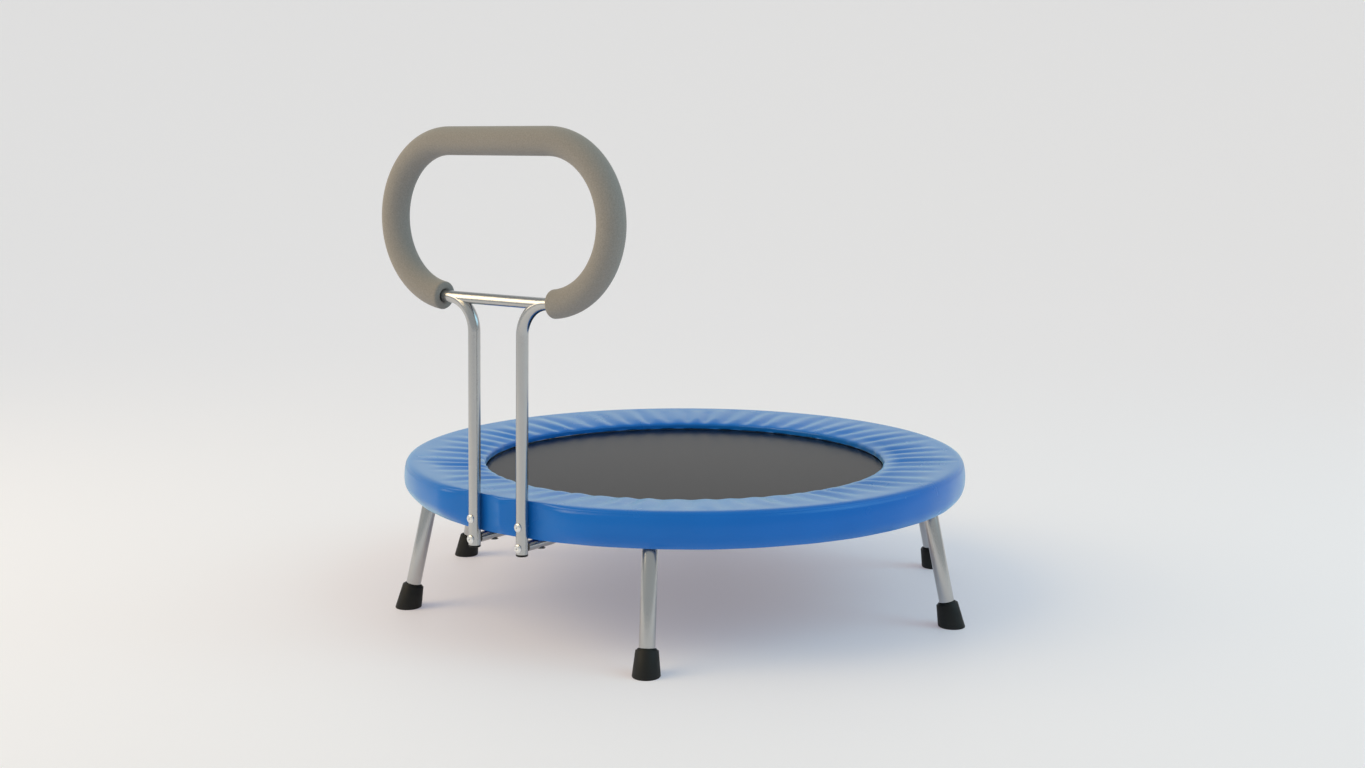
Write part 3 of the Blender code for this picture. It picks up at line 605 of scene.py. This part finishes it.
def makeMatRings():
    # a welded steel triangle for each spring, its wide side sewn into the hem
    sewn, wide, narrow = mat["hem"] - mat["ringSewn"], mat["ringWide"], mat["ringNarrow"]
    points = [(sewn, -wide, 0), (ringTip, -narrow, 0), (ringTip, narrow, 0), (sewn, wide, 0)]
    source = bentWire("matRing", points, mat["ringWire"], mat["ringCorner"], closed=True, detail=2)
    place = middle + Vector((0, 0, spring["height"]))
    copies = []
    for number in range(spring["count"]):
        turn = math.radians(360 * (number + 0.5) / spring["count"] - 90)
        copies.append(settle(copyOf(source, "matRing"), place, (0, 0, turn)))
    bpy.data.objects.remove(source)
    return smooth(joinAll("matRings", copies), 60)


# "seat" is how far from an upright's middle the bolts and the brace bear, as a share of its radius
handle = {
    "y": -0.4872, "pivot": 0.2468, "lean": math.radians(1.17),
    "radius": 0.0095, "spacing": 0.100, "barRadius": 0.009, "barHeight": 0.5586,
    "bend": 0.052, "loop": 0.120, "bottom": 0.1712, "sides": 40, "bendSteps": 20, "loopSteps": 48,
    "plugRim": 0.0035, "plugIn": 0.002, "seat": math.cos(math.pi / 12),
}
grip = {
    "radius": 0.022, "start": math.radians(5), "bore": 0.0101, "sides": 64, "steps": 60, "endRound": 0.0036,
}
halfGap = handle["spacing"] / 2
reach = halfGap + handle["bend"]
bar = handle["barHeight"] - handle["pivot"]
handlePlace = (middle + Vector((0, handle["y"], handle["pivot"])), (-handle["lean"], 0, 0))


def makeHandleTube():
    # one bent tube: up the left upright, out, round the loop and down the right upright
    bottom, low = handle["bottom"] - handle["pivot"], bar - handle["bend"]
    high = bar + handle["loop"]
    made = startRing("handleTube", handle["radius"], handle["sides"], (-halfGap, 0, bottom))
    pushRing((0, 0, low - bottom))
    spinOn(handle["bendSteps"], math.pi / 2, (-reach, 0, low), (0, -1, 0))
    spinOn(handle["loopSteps"], math.pi, (-reach, 0, high), (0, 1, 0))
    pushRing((2 * reach, 0, 0))
    spinOn(handle["loopSteps"], math.pi, (reach, 0, high), (0, 1, 0))
    spinOn(handle["bendSteps"], math.pi / 2, (reach, 0, low), (0, -1, 0))
    pushRing((0, 0, bottom - low))
    closeUp(made)
    freshStart()
    bpy.ops.mesh.primitive_cylinder_add(
        vertices=handle["sides"], radius=handle["barRadius"], depth=2 * reach,
        location=(0, 0, bar), rotation=(0, math.pi / 2, 0),
    )
    crossbar = bpy.context.object
    bpy.ops.object.transform_apply(location=True, rotation=True, scale=True)
    freshStart()
    useModifier(made, "BOOLEAN", operation="UNION", solver="EXACT", object=crossbar)
    bpy.data.objects.remove(crossbar)
    return smooth(settle(made, *handlePlace), 40)


def makeGrip():
    # the foam sleeve over the loop: a thick ring spun along the tube, its ends rounded over
    centre = Vector((-reach, 0, bar + handle["loop"]))
    turn = Matrix.Rotation(grip["start"], 3, "Y")
    start = centre + turn @ Vector((0, 0, -handle["loop"]))
    facing = (0, math.pi / 2 + grip["start"], 0)
    made = startRing("gripSleeve", grip["bore"], grip["sides"], start, facing)
    bpy.ops.mesh.extrude_region_move(TRANSFORM_OT_translate={"value": (0, 0, 0)})
    bpy.ops.transform.resize(value=(grip["radius"] / grip["bore"],) * 3, center_override=tuple(start))
    bpy.ops.mesh.select_all(action="SELECT")
    turnBy = math.pi - grip["start"]
    spinOn(grip["steps"], turnBy, centre, (0, 1, 0))
    bpy.ops.mesh.extrude_region_move(TRANSFORM_OT_translate={"value": (2 * reach, 0, 0)})
    spinOn(grip["steps"], turnBy, (reach, 0, centre.z), (0, 1, 0))
    closeUp(made, ends=False)
    softenEdges(made, grip["endRound"], 5, 60)
    return smooth(settle(made, *handlePlace), 50)


def makePlug(side):
    # the black end cap under an upright: a neck inside the tube and a rounded rim below it
    rim, radius, neck = handle["plugRim"], handle["radius"], handle["radius"] - handle["plugIn"]
    points = [
        (neck, handle["plugIn"]), (neck, -fitGap), (radius, -fitGap), (radius, -rim * 0.6),
        (radius - 0.0004, -rim * 0.88), (radius - 0.0012, -rim),
    ]
    made = closeUp(turnProfile("plug", points, handle["sides"]))
    settle(made, (side, 0, handle["bottom"] - handle["pivot"]))
    return smooth(settle(made, *handlePlace))


brace = {
    "radius": 0.008, "height": 0.181, "crossY": -0.3945, "corner": 0.030, "cornerSteps": 12, "detail": 8,
}
saddle = {
    "width": 0.016, "depth": 0.026, "low": 0.185, "high": 0.2042, "corner": 0.003, "cornerSteps": 4,
    "y": -0.4452, "channel": 0.1, "channelSides": 48,
}
bolt = {
    "radius": 0.003, "head": 0.0070, "height": 0.0028, "flatHeight": 0.0014, "length": 0.034,
    "socket": 0.0016, "domeFoot": 0.0009, "rim": 0.0008, "rimIn": 0.0004, "bite": 0.003, "sides": 40,
}


def uprightFace(height, side):
    # where a piece bears on the uprights at this height: side 1 is towards the mat, and -1 away from it
    half = handle["radius"] * handle["seat"] / math.cos(handle["lean"])
    return handle["y"] - (handle["pivot"] - height) * math.tan(handle["lean"]) + side * half


def makeBrace():
    # a U of tube whose arms run in under the frame
    end, cross = uprightFace(brace["height"], 1) + fitGap, brace["crossY"]
    points = [(-halfGap, end), (-halfGap, cross), (halfGap, cross), (halfGap, end)]
    path = [middle + Vector((x, y, brace["height"])) for x, y in points]
    made = bentWire(
        "brace", path, brace["radius"], brace["corner"], detail=brace["detail"], steps=brace["cornerSteps"],
    )
    return smooth(made, 40)


def makeSaddle(side):
    # a moulded block between the frame and an arm of the brace, hollowed to fit both
    freshStart()
    height = saddle["high"] - saddle["low"]
    centre = middle + Vector((side, saddle["y"], saddle["low"] + height / 2))
    size = (saddle["width"], saddle["depth"], height)
    bpy.ops.mesh.primitive_cube_add(size=1, location=centre, scale=size)
    made = bpy.context.object
    made.name = made.data.name = "saddle"
    bpy.ops.object.transform_apply(location=True, rotation=True, scale=True)
    bpy.ops.object.mode_set(mode="EDIT")
    bpy.ops.mesh.select_all(action="SELECT")
    bpy.ops.mesh.bevel(offset=saddle["corner"], segments=saddle["cornerSteps"])
    bpy.ops.object.mode_set(mode="OBJECT")
    freshStart()
    bpy.ops.mesh.primitive_cylinder_add(
        vertices=saddle["channelSides"], radius=brace["radius"] + fitGap, depth=saddle["channel"],
        location=middle + Vector((side, saddle["y"], brace["height"])), rotation=(math.pi / 2, 0, 0),
    )
    hollows = [bpy.context.object, makeFrameRing(fitGap)]
    for hollow in hollows:
        useModifier(made, "BOOLEAN", operation="DIFFERENCE", solver="EXACT", object=hollow)
        bpy.data.objects.remove(hollow)
    return smooth(made, 40)


def makeBolt(name, length, place, turn, height):
    # a dome head on a thin rim, with a round socket in its middle
    head, socket, domeFoot = bolt["head"], bolt["socket"], bolt["domeFoot"]
    points = [(socket, height * 0.45), (socket, height * 0.93), (socket + 0.0003, height * 0.99)]
    for step in range(1, 7):
        turnBy = math.radians(14 + 11 * step)
        radius = socket + (head - bolt["rimIn"] - socket) * math.sin(turnBy)
        points.append((radius, domeFoot + (height - domeFoot) * math.cos(turnBy)))
    points += [(head, bolt["rim"]), (head, 0.0001), (bolt["radius"], 0.0), (bolt["radius"], -length)]
    made = closeUp(turnProfile(name, points, bolt["sides"]))
    return smooth(settle(made, place, turn), 45)


# the pad's section from the mat outwards, the lining under it, and how far the pad sits to one side:
# "shoulder" goes out and down from the crown's end, "lining" out from the inner edge and down from
# "under", and "lipTurn" out from the inner edge and up from the lip
pad = {
    "inner": 0.3514, "edge": 0.2392, "edgeTurn": 0.0006, "top": 0.2522, "crown": 0.4770, "power": 0.40,
    "crownRings": 26, "crowding": 1.5,
    "shoulder": ((0.0035, 0.0003), (0.0065, 0.0011), (0.0088, 0.0023), (0.0102, 0.0037)),
    "seam": 0.4890, "seamHeight": 0.2462, "groove": 0.0011, "grooveWidth": 0.0028,
    "widest": 0.4925, "widestHeight": 0.2215, "upperSwell": 2.2, "lowerSwell": 2.4,
    "bottom": 0.4788, "rim": 0.193, "sideRings": 16, "vinyl": 0.0015, "segments": 1044,
    "liningEnd": 0.4770, "liningFoot": 0.2096, "bore": 0.4609, "boreCorner": 0.002, "under": 0.2325,
    "liningMiddle": 0.43, "lining": ((0.036, 0), (0.020, 0), (0.009, 0.0001)),
    "lip": 0.2317, "lipTurn": ((0.004, 0.0003), (0.0012, 0), (0.0002, 0.0004)),
    "uprightPinch": 0.4796, "pinchWidth": 0.010, "pinchReach": 0.090,
    "lean": 0.0042, "leanTo": math.radians(216.85), "leanAbove": 0.002, "leanInside": 0.02,
    "leanOver": 0.022, "leanOutside": 0.478,
}
# the gathers of the skin and what makes them uneven: each wave round the pad has its count, its
# start and its size
gather = {
    "count": 58, "depth": 0.0042, "sharpness": 0.75, "sink": 0.55,
    "wander": 1.3, "wanderWaves": ((3, 0.7, 0.55), (7, 2.2, 0.45), (17, 0.4, 0.30)),
    "sway": 0.35, "swayCount": 9, "swayTwist": 3.0,
    "slowWave": (5, 0.3, 0.25), "quickWave": (11, 1.1, 1.0), "sizeWave": (23, 2.7, 0.20),
    "length": 0.95, "lengthWaves": ((13, 0.9, 0.08), (29, 0, 0.06)), "fade": 0.6, "fadeEnd": 4,
    "edgeRise": 0.10, "riseBy": 0.22,
    "pucker": 0.0004, "puckerTo": 0.3, "puckerCount": 37, "puckerStart": 0.5,
    "ripple": ((14, 0.6, 0.0004), (37, 1.9, 0.0003)),
}
# the foam ring's section: "swell" goes out from its side, each with its height
padding = {
    "start": 0.400, "middle": 0.430, "corner": 0.001, "swell": ((0.006, 0.2300), (0.004, 0.2420)),
    "top": ((0.4720, 0.2480), (0.4660, 0.2480), (0.4080, 0.2430)), "inner": 0.3900, "innerTop": 0.2410,
    "innerTurn": 0.0014, "slack": 0.0006, "sides": 240,
}


def crownHeight(radius):
    share = max(0.0, (radius - pad["inner"]) / (pad["crown"] - pad["inner"]))
    return pad["edge"] + (pad["top"] - pad["edge"]) * share ** pad["power"]


def sideRadius(height):
    # the stuffed side: it swells from the seam to the middle and tucks in at the rim
    if height > pad["widestHeight"]:
        share = (height - pad["widestHeight"]) / (pad["seamHeight"] - pad["widestHeight"])
        return pad["widest"] - (pad["widest"] - pad["seam"]) * share ** pad["upperSwell"]
    share = (pad["widestHeight"] - height) / (pad["widestHeight"] - pad["rim"])
    return pad["widest"] - (pad["widest"] - pad["bottom"]) * share ** pad["lowerSwell"]


def coverPoints():
    # one strip of vinyl: lining round the ring and over the springs, lip, inner edge, crown, seam and side
    bore, corner, low, under = pad["bore"], pad["boreCorner"], pad["liningFoot"], pad["under"]
    points = [(pad["liningEnd"], low), (bore + corner, low), (bore, low + corner)]
    points += [(bore, under - corner), (bore - corner, under), (pad["liningMiddle"], under)]
    inner, lip, edge, crown = pad["inner"], pad["lip"], pad["edge"], pad["crown"]
    points += [(inner + out, under - down) for out, down in pad["lining"]]
    points += [(inner + out, lip + up) for out, up in pad["lipTurn"]]
    points += [(inner, lip + (edge - lip) * share) for share in (0.2, 0.4, 0.6, 0.8)]
    points.append((inner, edge - pad["edgeTurn"]))
    for number in range(1, pad["crownRings"] + 1):
        radius = inner + (number / pad["crownRings"]) ** pad["crowding"] * (crown - inner)
        points.append((radius, crownHeight(radius)))
    points += [(crown + out, pad["top"] - down) for out, down in pad["shoulder"]]
    seam, seamHeight, half = pad["seam"], pad["seamHeight"], pad["grooveWidth"] / 2
    points += [(seam - half, seamHeight + half), (seam - pad["groove"], seamHeight)]
    start, rings = seamHeight - half, pad["sideRings"]
    heights = [start - (start - pad["rim"]) * number / rings for number in range(rings + 1)]
    return points + [(sideRadius(height), height) for height in heights]


def waves(angle, terms):
    # the height at this angle of a few waves laid over each other
    return sum(size * math.sin(count * angle + start) for count, start, size in terms)


def gatherMove(angle, share):
    # how far the skin rises at this angle, share 0 at the inner edge and 1 at the crown
    wander = waves(angle, gather["wanderWaves"]) * gather["wander"]
    sway = gather["sway"] * math.sin(gather["swayCount"] * angle + gather["swayTwist"] * share)
    phase = gather["count"] * angle + wander + sway
    uneven = waves(angle, [gather["slowWave"]]) * waves(angle, [gather["quickWave"]])
    size = 1.0 + uneven + waves(angle, [gather["sizeWave"]])
    fade = max(0.0, 1.0 - share / (gather["length"] + waves(angle, gather["lengthWaves"])))
    fade = fade ** gather["fade"] * min(1.0, gather["fadeEnd"] * fade)
    rise = min(1.0, gather["edgeRise"] + share / gather["riseBy"])
    ridge = (0.5 + 0.5 * math.cos(phase)) ** gather["sharpness"] - gather["sink"]
    return gather["depth"] * size * ridge * fade * rise


def padPinch(x, y):
    # how much the uprights draw the side in, 1 where they are bolted on and 0 away from them
    if y > 0:
        return 0.0
    share = min(1.0, max(0.0, (abs(abs(x) - halfGap) - pad["pinchWidth"]) / pad["pinchReach"]))
    return 1 - share * share * (3 - 2 * share)


def leanPad(point):
    # the pad sits a few millimetres to one side of the frame, but its lining stays round the ring
    radius = math.hypot(point.x, point.y)
    if point.z > pad["under"] + pad["leanAbove"] or radius < pad["inner"] + pad["leanInside"]:
        share = 1.0
    else:
        share = min(1.0, max(0.0, (point.z - pad["rim"]) / pad["leanOver"])) * (radius > pad["leanOutside"])
    point.x += math.cos(pad["leanTo"]) * pad["lean"] * share
    point.y += math.sin(pad["leanTo"]) * pad["lean"] * share


def makePadCover():
    # the turned skin, then gathered on top, puckered at its inner edge and rippled down its side
    made = turnProfile("padCover", coverPoints(), pad["segments"])
    bpy.ops.object.mode_set(mode="OBJECT")
    width = pad["crown"] - pad["inner"]
    # a point belongs to the top, the gathered edge or the stuffed side by where it is
    topFrom, edgeFrom = pad["edge"] - 0.0003, pad["under"] + 0.0005
    sideFrom, sideTo = pad["crown"] + 0.001, pad["rim"] - 0.001
    for point in made.data.vertices:
        leanPad(point.co)
        x, y, z = point.co
        radius, angle = math.hypot(x, y), math.atan2(y, x)
        share = (radius - pad["inner"]) / width
        if z >= topFrom and share < 1:
            point.co.z += gatherMove(angle, max(share, 0))
        if z > edgeFrom and share < gather["puckerTo"]:
            inward = math.cos(gather["count"] * angle + gather["puckerStart"])
            pull = inward + math.sin(gather["puckerCount"] * angle)
            pull *= gather["pucker"] * (1 - share / gather["puckerTo"])
        elif radius > sideFrom and z > sideTo:
            low = (pad["top"] - z) / (pad["top"] - pad["rim"])
            ripple = waves(angle, gather["ripple"]) * low
            pull = ripple - max(0.0, radius + ripple - pad["uprightPinch"]) * padPinch(x, y)
        else:
            continue
        point.co.x += math.cos(angle) * pull
        point.co.y += math.sin(angle) * pull
    closeUp(made, ends=False)
    useModifier(made, "SOLIDIFY", thickness=pad["vinyl"], offset=-1)
    return smooth(settle(made, middle), 60)


def makePadFoam():
    # the white foam ring inside the skin, leaned and drawn in together with it
    skin, corner = pad["vinyl"] + padding["slack"], padding["corner"]
    under, low, bore = pad["under"] + skin, pad["liningFoot"] + skin, pad["bore"] + skin
    side, inner = pad["bottom"] - skin, padding["inner"]
    points = [(padding["start"], under), (padding["middle"], under), (bore, under), (bore, low)]
    points += [(side - corner, low), (side, low + corner)]
    points += [(side + out, height) for out, height in padding["swell"]]
    points += [*padding["top"], (inner, padding["innerTop"]), (inner, under + padding["innerTurn"])]
    points.append(points[0])
    made = closeUp(turnProfile("padFoam", points, padding["sides"]), ends=False)
    for point in made.data.vertices:
        leanPad(point.co)
        radius = math.hypot(point.co.x, point.co.y)
        over = max(0.0, radius + skin - pad["uprightPinch"]) * padPinch(point.co.x, point.co.y)
        point.co.x *= 1 - over / radius
        point.co.y *= 1 - over / radius
    return smooth(settle(made, middle), 40)


print("ring, legs and feet")
studs = placeLegs()
frameRing = smooth(joinAll("frameRing", [makeFrameRing(), *studs]))
dress(frameRing, zinc, replaces=("frame_ring",))

print("springs")
placeSprings()

print("mat")
dress(makeMatHem(), webbing, "mat", ("mat_hem",))
dress(makeMatRings(), zinc, "mat")
jumpMat = dress(makeJumpMat(), matFabric, "mat", ("mat",))

print("handle")
dress(makeHandleTube(), polished, replaces=("handle_frame",))
gripSleeve = dress(makeGrip(), gripSkin, replaces=("grip_foam",))

print("brace and bolts")
dress(makeBrace(), polished, replaces=("brace",))
for name, side in (("left", -halfGap), ("right", halfGap)):
    end = name.title()
    plug = makePlug(side)
    plug.name = f"uprightPlug{end}"
    dress(plug, plastic, replaces=(f"upright_plug_{name}",))
    block = makeSaddle(side)
    block.name = f"saddle{end}"
    # the saddle's dark blue paints in the reflection of the blue lining seen beside the uprights
    dress(block, paintedReflectionBlue, replaces=(f"saddle_{name}",))
    for level, height in (("upper", ring["height"]), ("lower", brace["height"])):
        seat = middle + Vector((side, uprightFace(height, -1) - fitGap, height))
        turn = (math.pi / 2, 0, 0)
        screw = makeBolt(f"handleBolt{level.title()}{end}", bolt["length"], seat, turn, bolt["height"])
        dress(screw, boltSteel, replaces=(f"handle_bolt_{level}_{name}",))
    low = brace["height"] - brace["radius"] - fitGap
    length, seat = ring["height"] + bolt["bite"] - low, middle + Vector((side, saddle["y"], low))
    screw = makeBolt(f"saddleBolt{end}", length, seat, (math.pi, 0, 0), bolt["flatHeight"])
    dress(screw, polished, replaces=(f"saddle_bolt_{name}",))

print("pad")
padCover = dress(makePadCover(), vinyl, replaces=("pad_cover",))
padFoam = dress(makePadFoam(), foam, replaces=("pad_foam",))


# turns are in degrees round the object from the camera, to the right
studio = {
    "floor": (0.70, 0.70, 0.70), "floorGlow": 0.246, "glowColour": (0.963, 0.898, 1.0), "floorRough": 0.6,
    "floorShine": 0.2, "grain": 60.0, "press": (0.02, 0.0005),
    "width": 60, "depth": 30, "back": 5.0, "bend": 9.0, "bendSteps": 48,
    "left": (26.0, (1.0, 0.804, 0.552)), "right": (12.3, (0.369, 0.770, 1.0)),
    "sideTurn": 80, "sideAway": 3.0, "sideHeight": 1.8, "sideSize": (2.2, 1.2), "aim": 0.25,
    "leftSun": (0.779, (1.0, 0.721, 0.349)), "rightSun": (0.430, (0.353, 0.819, 1.0)),
    "sunTurn": 70, "sunTilt": 45, "sunSpread": 35, "world": (0.461, 0.490, 0.498),
}
camera = {
    "turn": math.radians(36.85), "back": 2.9026, "height": 0.8011, "pitch": 0.14633, "yaw": -0.00287,
    "roll": 0.001665, "lens": 43.78, "sensor": 36, "far": 50,
}


def addPanel(name, degrees, power, colour):
    # a soft panel light beside the object, aimed a little above the floor at its middle
    turn, away = camera["turn"] + math.radians(degrees), studio["sideAway"]
    place = middle + Vector((away * math.sin(turn), -away * math.cos(turn), studio["sideHeight"]))
    aim = middle + Vector((0, 0, studio["aim"])) - place
    freshStart()
    bpy.ops.object.light_add(type="AREA", location=place)
    made = bpy.context.object
    made.name = name
    made.rotation_euler = aim.to_track_quat("-Z", "Y").to_euler()
    made.data.shape, made.data.size, made.data.size_y = "RECTANGLE", *studio["sideSize"]
    made.data.energy, made.data.color = power, colour


def addSun(name, degrees, power, colour):
    # a very soft light from far off
    freshStart()
    turn = Matrix.Rotation(camera["turn"] + math.radians(degrees), 3, "Z")
    tilt = turn @ Matrix.Rotation(math.radians(studio["sunTilt"]), 3, "X")
    bpy.ops.object.light_add(type="SUN", location=(0, 0, 3), rotation=tilt.to_euler())
    made = bpy.context.object
    made.name = name
    made.data.energy, made.data.color = power, colour
    made.data.angle = math.radians(studio["sunSpread"])


def makeFloor():
    # a pale sweep: a floor that turns up into a wall behind the object
    freshStart()
    edgeY = studio["back"] - 0.01
    bpy.ops.mesh.primitive_plane_add(size=1)
    made = bpy.context.object
    made.name = "studioSweep"
    bpy.ops.object.mode_set(mode="EDIT")
    bpy.ops.mesh.select_all(action="SELECT")
    bpy.ops.transform.resize(value=(studio["width"], studio["depth"], 1), center_override=(0, 0, 0))
    bpy.ops.transform.translate(value=(0, studio["back"] - studio["depth"] / 2, 0))
    bpy.ops.mesh.select_mode(type="EDGE")
    bpy.ops.object.mode_set(mode="OBJECT")
    for edge in made.data.edges:
        edge.select = all(made.data.vertices[i].co.y > edgeY for i in edge.vertices)
    for point in made.data.vertices:
        point.select = point.co.y > edgeY
    for face in made.data.polygons:
        face.select = False
    bpy.ops.object.mode_set(mode="EDIT")
    spinOn(studio["bendSteps"], math.pi / 2, (0, studio["back"], studio["bend"]), (1, 0, 0))
    bpy.ops.object.mode_set(mode="OBJECT")
    bpy.ops.object.shade_smooth()
    settle(made, middle, (0, 0, camera["turn"]))
    surface, tree, shader = newMaterial("paleFloor", studio["floor"], studio["floorRough"])
    shader.inputs["Emission Color"].default_value = (*studio["glowColour"], 1)
    shader.inputs["Emission Strength"].default_value = studio["floorGlow"]
    shader.inputs["Specular IOR Level"].default_value = studio["floorShine"]
    addBump(tree, shader, noiseOf(tree, studio["grain"], 4.0), *studio["press"])
    made.data.materials.append(surface)


def makeCamera():
    # where the photo was taken from, with its slight pitch, yaw and roll
    pitch, yaw, roll = camera["pitch"], camera["yaw"], camera["roll"]
    forward = Vector((math.sin(yaw) * math.cos(pitch), math.cos(yaw) * math.cos(pitch), -math.sin(pitch)))
    right = Vector((math.cos(yaw), -math.sin(yaw), 0))
    up = right.cross(forward)
    tiltRight = right * math.cos(roll) + up * math.sin(roll)
    tiltUp = up * math.cos(roll) - right * math.sin(roll)
    facing = Matrix((tiltRight, tiltUp, -forward)).transposed()
    spin = Matrix.Rotation(camera["turn"], 3, "Z")
    place = middle + spin @ Vector((0, -camera["back"], camera["height"]))
    freshStart()
    bpy.ops.object.camera_add(location=place, rotation=(spin @ facing).to_euler())
    made = bpy.context.object
    made.name = "photoCamera"
    made.data.lens, made.data.sensor_width = camera["lens"], camera["sensor"]
    made.data.clip_end = camera["far"]
    bpy.context.scene.camera = made


def makeWorld():
    world = bpy.data.worlds.new("paleStudio")
    world.use_nodes = True
    world.node_tree.nodes["Background"].inputs["Color"].default_value = (*studio["world"], 1)
    bpy.context.scene.world = world


print("studio")
makeFloor()
makeCamera()
addPanel("softLeft", -studio["sideTurn"], *studio["left"])
addPanel("softRight", studio["sideTurn"], *studio["right"])
addSun("warmLeft", -studio["sunTurn"], *studio["leftSun"])
addSun("coolRight", studio["sunTurn"], *studio["rightSun"])
makeWorld()
bpy.context.scene.view_settings.view_transform = "Standard"
bpy.context.scene.view_settings.look = "None"

print("finish")
